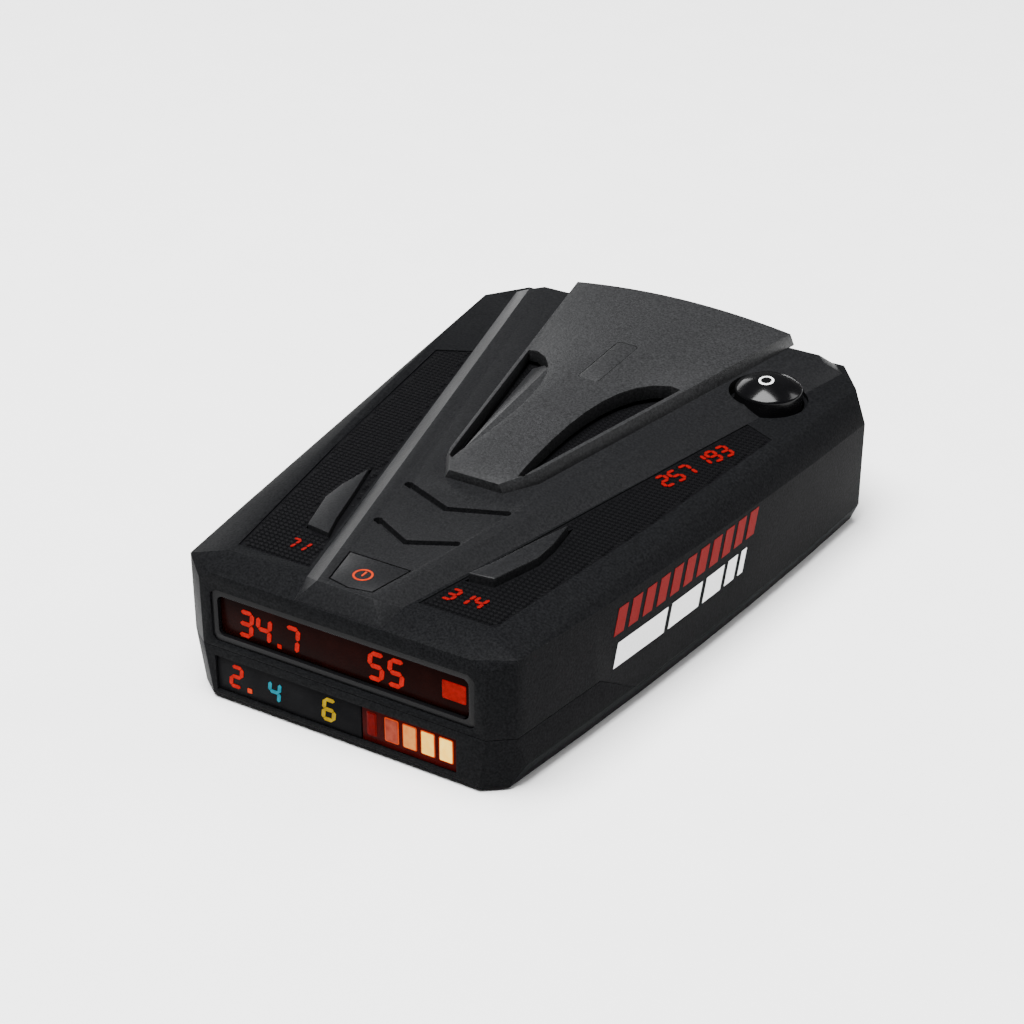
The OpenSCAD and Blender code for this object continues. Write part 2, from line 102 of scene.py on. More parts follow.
def bevelEdges(piece, width, segments, sharpness, wanted):
    # rounds the edges sharper than sharpness whose two ends pass the wanted test
    mesh = startEdit(piece)
    count = 0
    for edge in mesh.edges:
        if len(edge.link_faces) != 2:
            continue
        if edge.calc_face_angle(0) > math.radians(sharpness) and wanted(edge):
            edge.select_set(True)
            count += 1
    bmesh.update_edit_mesh(piece.data)
    if count:
        bpy.ops.mesh.bevel(offset=width * mm, segments=segments, profile=0.5, clamp_overlap=True)
        bpy.ops.mesh.select_all(action="SELECT")  # clears the zero-width slivers where bevels meet
        bpy.ops.mesh.dissolve_degenerate(threshold=0.0005 * mm)
    bpy.ops.object.mode_set(mode="OBJECT")
    return count


def smooth(piece, angle=32):
    takeHold(piece)
    bpy.ops.object.shade_smooth_by_angle(angle=math.radians(angle))


def finishPiece(piece, material, body, slot, *nodes):
    piece.data.materials.clear()
    piece.data.materials.append(material)
    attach(piece, body)
    if nodes:
        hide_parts(*nodes)


def newMaterial(name):
    material = bpy.data.materials.new(name)
    material.use_nodes = True
    tree = material.node_tree
    return material, tree.nodes, tree.links, tree.nodes["Principled BSDF"]


def noiseNode(nodes, links, coords, scale, detail=2.0, rough=0.5):
    noise = nodes.new("ShaderNodeTexNoise")
    noise.inputs["Scale"].default_value = scale
    noise.inputs["Detail"].default_value = detail
    noise.inputs["Roughness"].default_value = rough
    links.new(coords.outputs["Object"], noise.inputs["Vector"])
    return noise


def rampNode(nodes, links, source, low, high, start=0.3, stop=0.7):
    ramp = nodes.new("ShaderNodeValToRGB")
    ramp.color_ramp.elements[0].position = start
    ramp.color_ramp.elements[0].color = (*low, 1)
    ramp.color_ramp.elements[1].position = stop
    ramp.color_ramp.elements[1].color = (*high, 1)
    links.new(source, ramp.inputs["Fac"])
    return ramp


def rangeNode(nodes, links, source, low, high):
    remap = nodes.new("ShaderNodeMapRange")
    remap.inputs["From Min"].default_value = 0.25
    remap.inputs["From Max"].default_value = 0.75
    remap.inputs["To Min"].default_value = low
    remap.inputs["To Max"].default_value = high
    links.new(source, remap.inputs["Value"])
    return remap


def bumpNode(nodes, links, source, strength, distance, before=None):
    bump = nodes.new("ShaderNodeBump")
    bump.inputs["Strength"].default_value = strength
    bump.inputs["Distance"].default_value = distance * mm
    links.new(source, bump.inputs["Height"])
    if before:
        links.new(before.outputs["Normal"], bump.inputs["Normal"])
    return bump


def mouldedPlastic(name, dark, light, rough, grainSize, grainDepth, sheen=0.5):
    # fine spark-eroded grain in colour and bumps, over a slow unevenness of gloss
    material, nodes, links, shader = newMaterial(name)
    coords = nodes.new("ShaderNodeTexCoord")
    broad = noiseNode(nodes, links, coords, 45, 3)
    grain = noiseNode(nodes, links, coords, 1000 / grainSize, 3, 0.65)
    pits = nodes.new("ShaderNodeTexVoronoi")
    pits.inputs["Scale"].default_value = 700 / grainSize
    links.new(coords.outputs["Object"], pits.inputs["Vector"])
    colour = rampNode(nodes, links, grain.outputs["Fac"], dark, light, 0.35, 0.7)
    links.new(colour.outputs["Color"], shader.inputs["Base Color"])
    gloss = rangeNode(nodes, links, broad.outputs["Fac"], rough - 0.04, rough + 0.05)
    links.new(gloss.outputs["Result"], shader.inputs["Roughness"])
    first = bumpNode(nodes, links, grain.outputs["Fac"], 0.5, grainDepth)
    second = bumpNode(nodes, links, pits.outputs["Distance"], 0.25, grainDepth, first)
    links.new(second.outputs["Normal"], shader.inputs["Normal"])
    shader.inputs["Specular IOR Level"].default_value = sheen
    return material


def glossPlastic(name, dark, light, rough, coat=0.4, sheen=0.5):
    # polished moulding with faint haze
    material, nodes, links, shader = newMaterial(name)
    coords = nodes.new("ShaderNodeTexCoord")
    haze = noiseNode(nodes, links, coords, 220, 4)
    colour = rampNode(nodes, links, haze.outputs["Fac"], dark, light)
    links.new(colour.outputs["Color"], shader.inputs["Base Color"])
    gloss = rangeNode(nodes, links, haze.outputs["Fac"], rough * 0.8, rough * 1.25)
    links.new(gloss.outputs["Result"], shader.inputs["Roughness"])
    shader.inputs["Coat Weight"].default_value = coat
    shader.inputs["Coat Roughness"].default_value = 0.06
    shader.inputs["Specular IOR Level"].default_value = sheen
    return material


def metal(name, dark, light, rough, scale=900):
    material, nodes, links, shader = newMaterial(name)
    coords = nodes.new("ShaderNodeTexCoord")
    grain = noiseNode(nodes, links, coords, scale, 4)
    colour = rampNode(nodes, links, grain.outputs["Fac"], dark, light)
    links.new(colour.outputs["Color"], shader.inputs["Base Color"])
    gloss = rangeNode(nodes, links, grain.outputs["Fac"], rough - 0.06, rough + 0.1)
    links.new(gloss.outputs["Result"], shader.inputs["Roughness"])
    bump = bumpNode(nodes, links, grain.outputs["Fac"], 0.2, 0.01)
    links.new(bump.outputs["Normal"], shader.inputs["Normal"])
    shader.inputs["Metallic"].default_value = 1
    return material


def litLens(name, dark, light, strength, speckle=900):
    # glowing figure: light behind a slightly uneven diffuser
    material, nodes, links, shader = newMaterial(name)
    coords = nodes.new("ShaderNodeTexCoord")
    diffuser = noiseNode(nodes, links, coords, speckle, 2)
    colour = rampNode(nodes, links, diffuser.outputs["Fac"], dark, light)
    dullDark = [c * 0.08 for c in dark]
    dullLight = [c * 0.12 for c in light]
    unlit = rampNode(nodes, links, diffuser.outputs["Fac"], dullDark, dullLight)
    links.new(unlit.outputs["Color"], shader.inputs["Base Color"])
    links.new(colour.outputs["Color"], shader.inputs["Emission Color"])
    shader.inputs["Emission Strength"].default_value = strength
    shader.inputs["Roughness"].default_value = 0.4
    shader.inputs["Specular IOR Level"].default_value = 0.02
    return material


def printedInk(name, dark, light, rough=0.5, sheen=0.5):
    material, nodes, links, shader = newMaterial(name)
    coords = nodes.new("ShaderNodeTexCoord")
    grain = noiseNode(nodes, links, coords, 5000, 2)
    colour = rampNode(nodes, links, grain.outputs["Fac"], dark, light)
    links.new(colour.outputs["Color"], shader.inputs["Base Color"])
    bump = bumpNode(nodes, links, grain.outputs["Fac"], 0.3, 0.01)
    links.new(bump.outputs["Normal"], shader.inputs["Normal"])
    shader.inputs["Roughness"].default_value = rough
    shader.inputs["Specular IOR Level"].default_value = sheen
    return material


caseMat = mouldedPlastic(
    "caseGrain", (0.0028, 0.0029, 0.0032), (0.0075, 0.0077, 0.0083),
    rough=0.44, grainSize=0.4, grainDepth=0.05, sheen=0.008,
)
fasciaMat = mouldedPlastic(
    "fasciaGrain", (0.0035, 0.0036, 0.004), (0.0095, 0.0097, 0.0104),
    rough=0.42, grainSize=0.36, grainDepth=0.045, sheen=0.07,
)
hoodMat = mouldedPlastic(
    "hoodGrain", (0.006, 0.0061, 0.0065), (0.019, 0.0193, 0.0203),
    rough=0.42, grainSize=0.42, grainDepth=0.06, sheen=0.25,
)
keyMat = mouldedPlastic(
    "keyGrain", (0.0035, 0.0036, 0.004), (0.01, 0.0102, 0.011),
    rough=0.4, grainSize=0.34, grainDepth=0.035, sheen=0.1,
)
weaveMat = mouldedPlastic(
    "weaveBlack", (0.002, 0.002, 0.0023), (0.0045, 0.0045, 0.005),
    rough=0.42, grainSize=0.12, grainDepth=0.01, sheen=0.02,
)
bezelMat = mouldedPlastic(
    "bezelSatin", (0.002, 0.002, 0.0023), (0.004, 0.004, 0.0045),
    rough=0.34, grainSize=0.2, grainDepth=0.012, sheen=0.06,
)
windowMat = glossPlastic(
    "smokedRed", (0.004, 0.0007, 0.0005), (0.008, 0.0014, 0.001),
    rough=0.25, coat=0, sheen=0.008,
)
barLensMat = glossPlastic(
    "redLens", (0.016, 0.0006, 0.0004), (0.032, 0.0012, 0.0008),
    rough=0.3, coat=0, sheen=0.01,
)
stripMat = glossPlastic(
    "smokedBlack", (0.0028, 0.0028, 0.0032), (0.0052, 0.0052, 0.0056),
    rough=0.32, coat=0, sheen=0.01,
)
domeMat = glossPlastic(
    "polishedBlack", (0.0015, 0.0015, 0.0018), (0.003, 0.003, 0.0033),
    rough=0.17, coat=0.03, sheen=0.14,
)
padMat = mouldedPlastic(
    "ribbedRubber", (0.01, 0.01, 0.01), (0.022, 0.022, 0.022),
    rough=0.75, grainSize=0.4, grainDepth=0.05, sheen=0.3,
)
print("materials ready")


cornerReach = {"beside": 1.6 * mm, "behindFace": 7 * mm}


def isDisplayCorner(edge):
    # runs straight back from the display face, at a corner of the display's frame
    low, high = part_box("display_bezel")
    first, second = (v.co for v in edge.verts)
    runsBack = abs(first.y - second.y) > 0.9 * (first - second).length
    middle = (first + second) / 2
    besideEnd = min(abs(middle.x - low.x), abs(middle.x - high.x)) < cornerReach["beside"]
    besideRail = min(abs(middle.z - low.z), abs(middle.z - high.z)) < cornerReach["beside"]
    nearFace = middle.y < frontY + cornerReach["behindFace"]
    return runsBack and besideEnd and besideRail and nearFace


def isRim(edge):
    # leaves out the pocket that the sensor cover fills
    low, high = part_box("sensor_cover")
    middle = (edge.verts[0].co + edge.verts[1].co) / 2
    inside = low.x - mm < middle.x < high.x + mm and low.y - mm < middle.y < high.y + mm
    return not inside


def bevelledCopy(node, name, settings, wanted=lambda edge: True):
    piece = copyOfNode(node, name)
    if "cornerRound" in settings:  # first the upright corners of the display opening
        bevelEdges(piece, settings["cornerRound"], 4, 60, isDisplayCorner)
    count = bevelEdges(piece, settings["edgeRound"], settings["segments"], settings["sharp"], wanted)
    smooth(piece)
    print(name, "edges rounded:", count, "faces:", len(piece.data.polygons))
    return piece


def rounding(edgeRound, segments, sharp, **more):
    return {"edgeRound": edgeRound, "segments": segments, "sharp": sharp, **more}


for node, name, material, slot, settings in (
    ("upper_shell", "caseTop", caseMat, "case", rounding(0.4, 3, 14, cornerRound=1.1)),
    ("lower_shell", "caseBottom", caseMat, "case", rounding(0.3, 2, 14)),
    ("centre_fascia", "fasciaPanel", fasciaMat, "fascia", rounding(0.25, 3, 12)),
    ("hood_cover", "hoodPanel", hoodMat, "hood", rounding(0.55, 4, 20)),
    ("hood_louvre", "louvre", hoodMat, "fascia", rounding(0.15, 2, 20)),
    ("sensor_cover", "sensorPanel", hoodMat, "hood", rounding(0.08, 2, 20)),
    ("display_bezel", "bezelFrame", bezelMat, "bezel", rounding(0.2, 3, 20, cornerRound=1.1)),
    ("display_window", "windowLens", windowMat, "window", rounding(0.1, 2, 20)),
    ("indicator_strip", "stripLens", stripMat, "strip", rounding(0.1, 2, 20)),
    ("bar_window", "barLens", barLensMat, "bar_lens", rounding(0.1, 2, 20)),
    ("rear_window", "rearLens", windowMat, "window", rounding(0.25, 3, 20)),
):
    if node == "hood_cover":
        piece = bevelledCopy(node, name, settings, isRim)
    else:
        piece = bevelledCopy(node, name, settings)
    finishPiece(piece, material, "case", slot, node)

for node, name, material, slot, body, settings in (
    ("power_key", "powerKeyCap", keyMat, "key", "power_key", rounding(0.15, 2, 20)),
    ("fin_key_left", "finLeft", keyMat, "key", "fin_key_left", rounding(0.25, 3, 20)),
    ("fin_key_right", "finRight", keyMat, "key", "fin_key_right", rounding(0.25, 3, 20)),
    ("dome_button", "domeCap", domeMat, "dome", "dome_button", rounding(0.3, 3, 30)),
):
    piece = bevelledCopy(node, name, settings)
    finishPiece(piece, material, body, slot, node)


def settle(piece, location, rotation=(0, 0, 0), order="XYZ"):
    # puts the piece in its place and keeps that place in its mesh
    takeHold(piece)
    piece.rotation_mode = order
    piece.rotation_euler = rotation
    piece.location = location
    bpy.ops.object.transform_apply(location=True, rotation=True, scale=True)


def settleOnDeck(piece, x, back, height, turn=0):
    settle(piece, onDeck(x, back, height), (deckTilt, 0, math.radians(turn)), "ZYX")


def joinAll(pieces, name):
    deselectAll()
    for piece in pieces:
        piece.select_set(True)
    bpy.context.view_layer.objects.active = pieces[0]
    if len(pieces) > 1:
        bpy.ops.object.join()
    whole = bpy.context.view_layer.objects.active
    whole.name = name
    return whole


def twin(piece):
    other = bpy.data.objects.new(piece.name, piece.data.copy())
    bpy.context.scene.collection.objects.link(other)
    return other


def applyAll(piece):
    takeHold(piece)
    for modifier in list(piece.modifiers):
        bpy.ops.object.modifier_apply(modifier=modifier.name)


def thicken(piece, thickness, offset=1):
    wall = piece.modifiers.new("wall", "SOLIDIFY")
    wall.thickness = thickness * mm
    wall.offset = offset
    applyAll(piece)


def wrapOnto(piece, target, axis, clearance):
    # drops a thin sheet against the axis onto a curved surface
    wrap = piece.modifiers.new("wrap", "SHRINKWRAP")
    wrap.target = target
    wrap.wrap_method = "PROJECT"
    wrap.use_project_x = axis == "X"
    wrap.use_project_y = axis == "Y"
    wrap.use_project_z = axis == "Z"
    wrap.use_positive_direction = False
    wrap.use_negative_direction = True
    wrap.offset = clearance * mm
    applyAll(piece)


def treeOf(node):
    mesh = frame["nodes"][node].data
    return BVHTree.FromPolygons([v.co for v in mesh.vertices], [tuple(p.vertices) for p in mesh.polygons])


# woven strips: diagonal cells, raised high and low in turn, kept where they stand on the panel
weaveSettings = {"pitch": 0.7, "margin": 0.15, "high": 0.21, "low": 0.1, "base": 0.05, "sheet": 0.1}
weaveProbe = {"down": 1.5, "up": 12}  # how far a cell looks for its panel and for a cover over it


def weaveRelief(name, node, covers):
    low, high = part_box(node)
    middle = (low + high) / 2
    reach = math.hypot(high.x - low.x, high.y - low.y) / 2
    count = int(2 * reach / (weaveSettings["pitch"] * mm))
    deselectAll()
    bpy.ops.mesh.primitive_grid_add(x_subdivisions=count, y_subdivisions=count, size=2 * reach)
    piece = bpy.context.active_object
    piece.name = name
    top = max(v.co.dot(deckUp) for v in frame["nodes"][node].data.vertices) - deckOrigin.dot(deckUp)
    back = (Vector((0, middle.y, middle.z)) - deckOrigin).dot(deckBack)
    odd = []
    mesh = startEdit(piece, "FACE")
    for face in mesh.faces:
        centre = face.calc_center_median()
        column = int((centre.x + reach) / (2 * reach) * count)
        row = int((centre.y + reach) / (2 * reach) * count)
        odd.append((column + row) % 2 == 1)
    bpy.ops.object.mode_set(mode="OBJECT")
    marks = piece.data.attributes.new("odd", "BOOLEAN", "FACE")
    marks.data.foreach_set("value", odd)
    settleOnDeck(piece, middle.x / mm, back / mm, top / mm + weaveSettings["base"], 45)
    panel = treeOf(node)
    lids = [treeOf(cover) for cover in covers]
    mesh = startEdit(piece, "FACE")
    for face in mesh.faces:
        points = [v.co for v in face.verts]
        onPanel = all(panel.ray_cast(p + deckUp * mm, -deckUp, weaveProbe["down"] * mm)[0] for p in points)
        covered = any(lid.ray_cast(p, deckUp, weaveProbe["up"] * mm)[0] for lid in lids for p in points)
        face.select_set(not onPanel or covered)
    bmesh.update_edit_mesh(piece.data)
    bpy.ops.mesh.delete(type="FACE")
    for wanted, depth in ((True, weaveSettings["high"]), (False, weaveSettings["low"])):
        mesh = startEdit(piece, "FACE")
        layer = mesh.faces.layers.bool["odd"]
        cell = (weaveSettings["pitch"] * mm) ** 2
        for face in mesh.faces:
            if face[layer] == wanted and face.calc_area() > 0.8 * cell:
                face.select_set(True)
        bmesh.update_edit_mesh(piece.data)
        bpy.ops.mesh.inset(thickness=weaveSettings["margin"] * mm, depth=depth * mm, use_individual=True)
        bpy.ops.object.mode_set(mode="OBJECT")
    piece.data.attributes.remove(piece.data.attributes["odd"])
    thicken(piece, weaveSettings["sheet"], -1)
    print(name, "faces:", len(piece.data.polygons))
    return piece


for name, node, covers in (
    ("weaveRight", "mesh_panel_right", ()),
    ("weaveLeft", "mesh_panel_left", ()),
    ("hoodWeave", "hood_mesh", ("hood_cover", "hood_louvre", "centre_fascia")),
):
    finishPiece(weaveRelief(name, node, covers), weaveMat, "case", "mesh")

# figures: seven-stroke numerals cut from one pointed stroke
strokesOf = {
    "0": "abcdef", "1": "bc", "2": "abged", "3": "abgcd", "4": "fgbc", "5": "afgcd",
    "6": "afgedc", "7": "abc", "8": "abcdefg", "9": "abcdfg",
}


def strokeBar(length, width, depth):
    deselectAll()
    bpy.ops.mesh.primitive_cube_add(size=1)
    piece = bpy.context.active_object
    piece.scale = (length * mm, width * mm, depth * mm)
    settle(piece, (0, 0, 0))
    mesh = startEdit(piece)
    for edge in mesh.edges:
        edge.select_set(abs((edge.verts[0].co - edge.verts[1].co).z) > 0.5 * depth * mm)
    bmesh.update_edit_mesh(piece.data)
    bpy.ops.mesh.bevel(offset=width * 0.42 * mm, segments=1)
    bpy.ops.object.mode_set(mode="OBJECT")
    return piece


def figures(name, text, height, stroke=0.18, slant=0.12, depth=0.1):
    # numerals in the XY plane from the origin to the right, standing up along Z by depth
    wide = height * 0.52
    half = height / 2
    thick = height * stroke
    overlap = thick * 0.3
    bars = {
        "side": strokeBar(half - overlap, thick, depth),
        "across": strokeBar(wide - overlap, thick, depth),
    }
    spots = {
        "a": (wide / 2, height, 0), "g": (wide / 2, half, 0), "d": (wide / 2, 0, 0),
        "f": (0, half * 1.5, 90), "b": (wide, half * 1.5, 90),
        "e": (0, half / 2, 90), "c": (wide, half / 2, 90),
    }
    pieces = []
    for index, digit in enumerate(text):
        for place in strokesOf[digit]:
            x, y, turn = spots[place]
            bar = twin(bars["side" if turn else "across"])
            settle(bar, ((x + index * wide * 1.55) * mm, y * mm, depth / 2 * mm), (0, 0, math.radians(turn)))
            pieces.append(bar)
    for bar in bars.values():
        bpy.data.objects.remove(bar)
    whole = joinAll(pieces, name)
    lean = Matrix.Identity(4)
    lean[0][1] = slant
    whole.data.transform(lean)
    return whole


upright = (math.radians(90), 0, 0)  # a figure drawn flat is stood up to face the driver

redGlow = litLens("displayRed", (0.8, 0.008, 0.002), (1.0, 0.016, 0.004), strength=0.5)
alertGlow = litLens("alertRed", (0.8, 0.006, 0.001), (1.0, 0.01, 0.002), strength=0.2)
cyanGlow = litLens("lampCyan", (0.004, 0.3, 0.42), (0.01, 0.42, 0.56), strength=0.6)
yellowGlow = litLens("lampYellow", (0.6, 0.36, 0.004), (0.75, 0.5, 0.01), strength=0.6)
orangeGlow = litLens("lampOrange", (0.85, 0.05, 0.008), (1.0, 0.08, 0.015), strength=0.95)
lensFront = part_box("display_window")[0].y / mm
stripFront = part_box("indicator_strip")[0].y / mm
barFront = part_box("bar_window")[0].y / mm
for name, text, x, z, height, material, front in (
    ("speedFigures", "34", -20.6, 14.0, 4.5, redGlow, lensFront),
    ("speedTenths", "7", -11.4, 14.0, 4.5, redGlow, lensFront),
    ("channelFigures", "55", 5.0, 14.3, 4.7, redGlow, lensFront),
    ("bandLampRed", "2", -22.6, 3.5, 3.9, redGlow, stripFront),
    ("bandLampCyan", "4", -14.8, 3.3, 3.7, cyanGlow, stripFront),
    ("bandLampYellow", "6", -3.9, 3.5, 3.9, yellowGlow, stripFront),
):
    piece = figures(name, text, height)
    settle(piece, (x * mm, front * mm, z * mm), upright)
    finishPiece(piece, material, "case", "led")


lensSink = 0.02  # how far a lit block stands in its lens
blockStep = {"inset": 0.12, "proud": 0.04}


def litBlock(name, x, z, width, height, front, depth, corner):
    deselectAll()
    bpy.ops.mesh.primitive_cube_add(size=1)
    piece = bpy.context.active_object
    piece.name = name
    piece.scale = (width * mm, depth * mm, height * mm)
    settle(piece, ((x + width / 2) * mm, (front - depth / 2 + lensSink) * mm, (z + height / 2) * mm))
    mesh = startEdit(piece)
    for edge in mesh.edges:
        edge.select_set(abs((edge.verts[0].co - edge.verts[1].co).y) > 0.5 * depth * mm)
    bmesh.update_edit_mesh(piece.data)
    bpy.ops.mesh.bevel(offset=corner * mm, segments=3)
    mesh = startEdit(piece, "FACE")
    for face in mesh.faces:
        face.select_set(face.normal.y < -0.9)
    bmesh.update_edit_mesh(piece.data)
    bpy.ops.mesh.inset(thickness=blockStep["inset"] * mm, depth=blockStep["proud"] * mm)
    bpy.ops.object.mode_set(mode="OBJECT")
    return piece


# points and the alert square: x and z of the low left corner, width, height, corner radius
for name, x, z, width, height, corner, material, front in (
    ("tenthsPoint", -12.9, 13.7, 0.8, 0.8, 0.12, redGlow, lensFront),
    ("alertSquare", 19.0, 15.2, 4.4, 3.4, 0.25, alertGlow, lensFront),
    ("bandPoint", -19.2, 3.1, 0.9, 0.9, 0.15, orangeGlow, stripFront),
):
    finishPiece(litBlock(name, x, z, width, height, front, 0.1, corner), material, "case", "led")

# signal bars: each a pale core in a glowing rim, hotter towards the right
barSettings = {
    "first": 4.9, "firstWidth": 1.5, "pitch": 3.45, "width": 2.3, "low": 3.5, "height": 4.2, "rim": 0.2,
}
barTones = (
    ((0.4, 0.001, 0.0005), (0.55, 0.002, 0.001), 0.12),
    ((0.7, 0.09, 0.05), (0.85, 0.15, 0.08), 0.34),
    ((0.95, 0.28, 0.05), (1.0, 0.38, 0.08), 1.0),
    ((1.0, 0.5, 0.05), (1.0, 0.62, 0.1), 1.9),
    ((1.0, 0.54, 0.06), (1.0, 0.66, 0.12), 2.4),
)
rimMat = litLens("barRim", (0.9, 0.06, 0.004), (1.0, 0.1, 0.01), strength=0.7)
rimDim = litLens("barRimDim", (0.3, 0.002, 0.001), (0.45, 0.004, 0.002), strength=0.14)
for index, (dark, light, power) in enumerate(barTones):
    x = barSettings["first"] + index * barSettings["pitch"]
    width = barSettings["width"] if index else barSettings["firstWidth"]
    rim = barSettings["rim"]
    outer = litBlock("barRim%d" % (index + 1), x - rim, barSettings["low"] - rim,
                     width + 2 * rim, barSettings["height"] + 2 * rim, barFront, 0.06, 0.3)
    finishPiece(outer, rimDim if index == 0 else rimMat, "case", "led")
    core = litBlock("barCore%d" % (index + 1), x, barSettings["low"],
                    width, barSettings["height"], barFront - 0.06, 0.08, 0.2)
    finishPiece(core, litLens("barCore%d" % (index + 1), dark, light, power), "case", "led")
print("display end lit")


def ringBand(name, inner, outer, steps=48):
    deselectAll()
    bpy.ops.mesh.primitive_circle_add(vertices=steps, radius=outer * mm, fill_type="NGON")
    piece = bpy.context.active_object
    piece.name = name
    startEdit(piece, "FACE")
    bpy.ops.mesh.select_all(action="SELECT")
    bpy.ops.mesh.inset(thickness=(outer - inner) * mm)
    bpy.ops.mesh.delete(type="FACE")
    bpy.ops.object.mode_set(mode="OBJECT")
    return piece


# power mark: a ring and a short bar, lit from inside the key
powerMark = {
    "at": 7.9, "inner": 1.35, "outer": 1.7, "bar": 1.5, "barWidth": 0.32, "barShift": 0.35, "thick": 0.06,
}
ring = ringBand("powerRing", powerMark["inner"], powerMark["outer"])
thicken(ring, powerMark["thick"])
settleOnDeck(ring, 0, powerMark["at"], fasciaHeight - 0.01)
finishPiece(ring, orangeGlow, "power_key", "led")
tick = strokeBar(powerMark["bar"], powerMark["barWidth"], powerMark["thick"])
tick.name = "powerTick"
settleOnDeck(tick, 0, powerMark["at"] + powerMark["barShift"], fasciaHeight + 0.02, 90)
finishPiece(tick, orangeGlow, "power_key", "led")

# printed red figures on the mesh strips
redInk = printedInk("redInk", (0.11, 0.0004, 0.0003), (0.15, 0.0008, 0.0006), rough=0.6, sheen=0.05)
whiteInk = printedInk("whiteInk", (0.72, 0.72, 0.72), (0.85, 0.85, 0.85))
panelDrop = 0.2  # how far the strips' panels lie under the flat top
figureSink = 0.03
weaveTop = weaveSettings["base"] + weaveSettings["high"] - panelDrop
for name, text, x, back, turn, height in (
    ("stripFiguresFront", "314", 12.9, 11.0, 0, 3.1),
    ("stripFiguresLeft", "71", -18.2, 11.3, 0, 2.7),
    ("stripFiguresRear", "257", 27.2, 60.2, 72, 3.4),
    ("stripFiguresFar", "193", 29.6, 69.6, 72, 3.4),
):
    piece = figures(name, text, height, 0.2)
    settleOnDeck(piece, x, back, weaveTop - figureSink, turn)
    finishPiece(piece, redInk, "case", "mesh")

# side decals: plain slanted bars in two rows, laid on the bowed wall
shell = bpy.data.objects["caseTop"]
decalSettings = {
    "redRow": {
        "ink": redInk, "start": -30.5, "low": 17.2, "high": 22, "widths": (2.6,) * 11, "gap": 1.3,
    },
    "whiteRow": {
        "ink": whiteInk, "start": -30.5, "low": 11.0, "high": 15.4, "widths": (14, 9, 5.5, 3, 1.6),
        "gap": 1.3,
    },
}
decalSlant = 0.28
decalStart = 60  # outside the wall that the bars are pressed on to
for name, row in decalSettings.items():
    y = row["start"]
    tall = row["high"] - row["low"]
    plates = []
    for width in row["widths"]:
        deselectAll()
        columns = max(2, int(width / 0.8))
        bpy.ops.mesh.primitive_grid_add(x_subdivisions=columns, y_subdivisions=5, size=1)
        plate = bpy.context.active_object
        plate.scale = (width * mm, tall * mm, 1)
        settle(plate, ((y + width / 2) * mm, 0, 0))
        plates.append(plate)
        y += width + row["gap"]
    decal = joinAll(plates, name)
    lean = Matrix.Identity(4)
    lean[0][1] = decalSlant
    decal.data.transform(lean)
    turned = (math.radians(90), 0, math.radians(90))
    settle(decal, (decalStart * mm, 0, (row["low"] + tall / 2) * mm), turned)
    wrapOnto(decal, shell, "X", 0.03)
    thicken(decal, 0.05)
    finishPiece(decal, row["ink"], "case", "case")

# the round button's mark: one plain white ring
domeRing = {"inner": 1.0, "outer": 1.4, "forward": 1.4, "drop": 4}
mark = ringBand("domeMark", domeRing["inner"], domeRing["outer"])
domeLow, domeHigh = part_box("dome_button")
domeMiddle = (domeLow + domeHigh) / 2
startEdit(mark, "FACE")
bpy.ops.mesh.select_all(action="SELECT")
bpy.ops.mesh.subdivide(number_cuts=1)
bpy.ops.object.mode_set(mode="OBJECT")
settle(mark, (domeMiddle.x, domeMiddle.y - domeRing["forward"] * mm, domeHigh.z + domeRing["drop"] * mm))
wrapOnto(mark, bpy.data.objects["domeCap"], "Z", 0.02)
thicken(mark, 0.04)
finishPiece(mark, whiteInk, "dome_button", "dome")
print("marks and decals laid")

# grip pad: ribs across its underside
gripSettings = {"rib": 1.6, "depth": 0.35, "edge": 2}
grip = copyOfNode("grip_pad", "gripSheet")
gripLow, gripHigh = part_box("grip_pad")
edge = gripSettings["edge"] * mm
ribCount = int((gripHigh.y - gripLow.y - 2 * edge) / (gripSettings["rib"] * mm))
ribStep = (gripHigh.y - gripLow.y - 2 * edge) / ribCount
cuts = [(gripLow.y + edge + i * ribStep, "Y") for i in range(ribCount + 1)]
cuts += [(gripLow.x + edge, "X"), (gripHigh.x - edge, "X")]
for place, axis in cuts:
    startEdit(grip, "FACE")
    bpy.ops.mesh.select_all(action="SELECT")
    point = (place, 0, 0) if axis == "X" else (0, place, 0)
    normal = (1, 0, 0) if axis == "X" else (0, 1, 0)
    bpy.ops.mesh.bisect(plane_co=point, plane_no=normal)
    bpy.ops.object.mode_set(mode="OBJECT")
mesh = startEdit(grip, "FACE")
for face in mesh.faces:
    centre = face.calc_center_median()
    band = math.floor((centre.y - gripLow.y - edge) / ribStep)
    inside = gripLow.x + edge < centre.x < gripHigh.x - edge and 0 <= band < ribCount
    if inside and band % 2 and face.normal.z < -0.9:
        face.select_set(True)
bmesh.update_edit_mesh(grip.data)
bpy.ops.mesh.extrude_region_move(TRANSFORM_OT_translate={"value": (0, 0, gripSettings["depth"] * mm)})
bpy.ops.object.mode_set(mode="OBJECT")
smooth(grip)
finishPiece(grip, padMat, "case", "pad", "grip_pad")

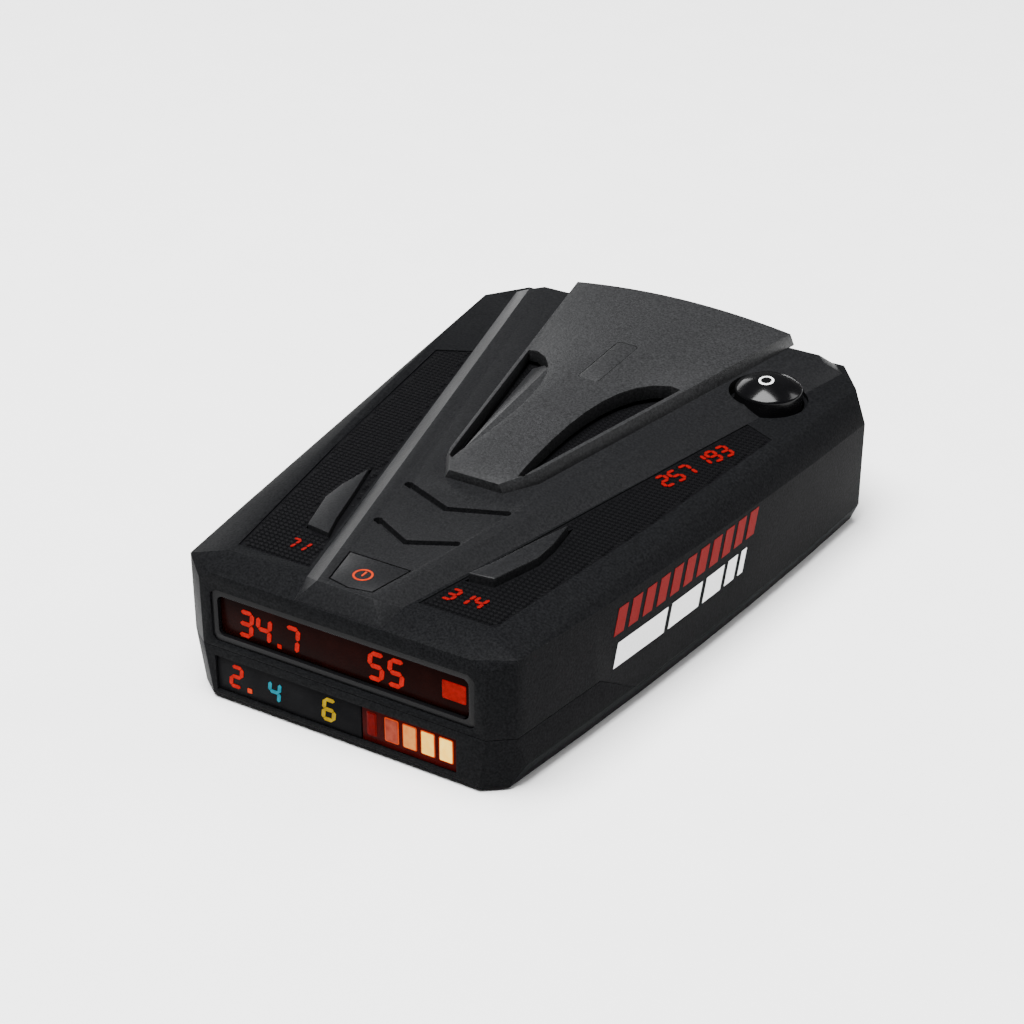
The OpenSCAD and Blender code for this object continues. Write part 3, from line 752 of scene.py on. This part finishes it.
# inner pieces and the rest keep their CAD shape
boardMat = glossPlastic("solderMask", (0.008, 0.05, 0.02), (0.016, 0.085, 0.035), rough=0.3)
partMat = mouldedPlastic(
    "mouldedParts", (0.012, 0.012, 0.013), (0.03, 0.03, 0.032),
    rough=0.5, grainSize=0.3, grainDepth=0.02,
)
screwMat = metal("zincScrews", (0.45, 0.45, 0.46), (0.62, 0.62, 0.63), rough=0.3)
hornMat = metal("castHorn", (0.5, 0.5, 0.49), (0.66, 0.66, 0.64), rough=0.45)
shieldMat = metal("tinnedShield", (0.55, 0.55, 0.53), (0.7, 0.7, 0.68), rough=0.28)
ribbonMat = printedInk("ribbonFilm", (0.6, 0.58, 0.5), (0.75, 0.72, 0.64))
ledMat = litLens("ledAmber", (0.9, 0.45, 0.12), (1.0, 0.7, 0.3), strength=0.5)
gasketMat = mouldedPlastic(
    "foamGasket", (0.02, 0.02, 0.02), (0.05, 0.05, 0.05),
    rough=0.8, grainSize=0.8, grainDepth=0.1, sheen=0.2,
)
capacitorMat = glossPlastic("capacitorSleeve", (0.015, 0.025, 0.08), (0.03, 0.045, 0.12), rough=0.3)
slotMats = {
    "case": caseMat, "fascia": fasciaMat, "hood": hoodMat, "mesh": weaveMat, "bezel": bezelMat,
    "window": windowMat, "strip": stripMat, "bar_lens": barLensMat, "key": keyMat, "dome": domeMat,
    "jack": partMat, "pad": padMat, "screw": screwMat, "board": boardMat, "component": partMat,
    "led": ledMat, "ribbon": ribbonMat, "horn": hornMat, "shield": shieldMat, "gasket": gasketMat,
    "capacitor": capacitorMat,
}
slotOfNode = {entry["node"]: entry["material_slot"] for entry in frame["record"]["subparts"]}
for node, thing in frame["nodes"].items():
    thing.data.materials.clear()
    thing.data.materials.append(slotMats[slotOfNode[node]])
print("inner pieces dressed")

# the stage: camera, pale floor and three soft boxes
cameraSettings = {
    "place": (0.18988, -0.31927, 0.22695), "azimuth": 31.14, "elevation": 29.72, "lens": 84.375,
}
cameraData = bpy.data.cameras.new("studioCamera")
cameraData.lens = cameraSettings["lens"]
cameraData.sensor_width = 36
camera = bpy.data.objects.new("studioCamera", cameraData)
camera.location = cameraSettings["place"]
camera.rotation_euler = (
    math.radians(90 - cameraSettings["elevation"]), 0, math.radians(cameraSettings["azimuth"]),
)
bpy.context.scene.collection.objects.link(camera)
bpy.context.scene.camera = camera

deselectAll()
bpy.ops.mesh.primitive_plane_add(size=6, location=(0, 0, 0))
floor = bpy.context.active_object
floor.name = "studioFloor"
floorMat, nodes, links, shader = newMaterial("paleFloor")
coords = nodes.new("ShaderNodeTexCoord")
paper = noiseNode(nodes, links, coords, 60, 3)
tone = rampNode(nodes, links, paper.outputs["Fac"], (0.9, 0.9, 0.9), (0.92, 0.92, 0.92))
links.new(tone.outputs["Color"], shader.inputs["Base Color"])
shader.inputs["Roughness"].default_value = 0.9
shader.inputs["Specular IOR Level"].default_value = 0.1
floor.data.materials.append(floorMat)

# soft boxes: one overhead for the floor, one low behind on the left, one behind on the right
lampSettings = {
    "overhead": {"place": (-0.1, -0.25, 1.3), "size": 0.9, "power": 84},
    "rearLeft": {"place": (-1.25, 0.85, 0.3), "size": 0.8, "power": 8},
    "rearRight": {"place": (0.85, 0.9, 0.9), "size": 0.6, "power": 9},
}
for name, lamp in lampSettings.items():
    light = bpy.data.lights.new(name, "AREA")
    light.energy = lamp["power"]
    light.size = lamp["size"]
    holder = bpy.data.objects.new(name, light)
    holder.location = lamp["place"]
    holder.rotation_euler = (-Vector(lamp["place"])).to_track_quat("-Z", "Y").to_euler()
    bpy.context.scene.collection.objects.link(holder)

world = bpy.data.worlds.new("studioWorld")
bpy.context.scene.world = world
world.use_nodes = True
world.node_tree.nodes["Background"].inputs["Color"].default_value = (1, 1, 1, 1)
world.node_tree.nodes["Background"].inputs["Strength"].default_value = 0.1
print("stage set")
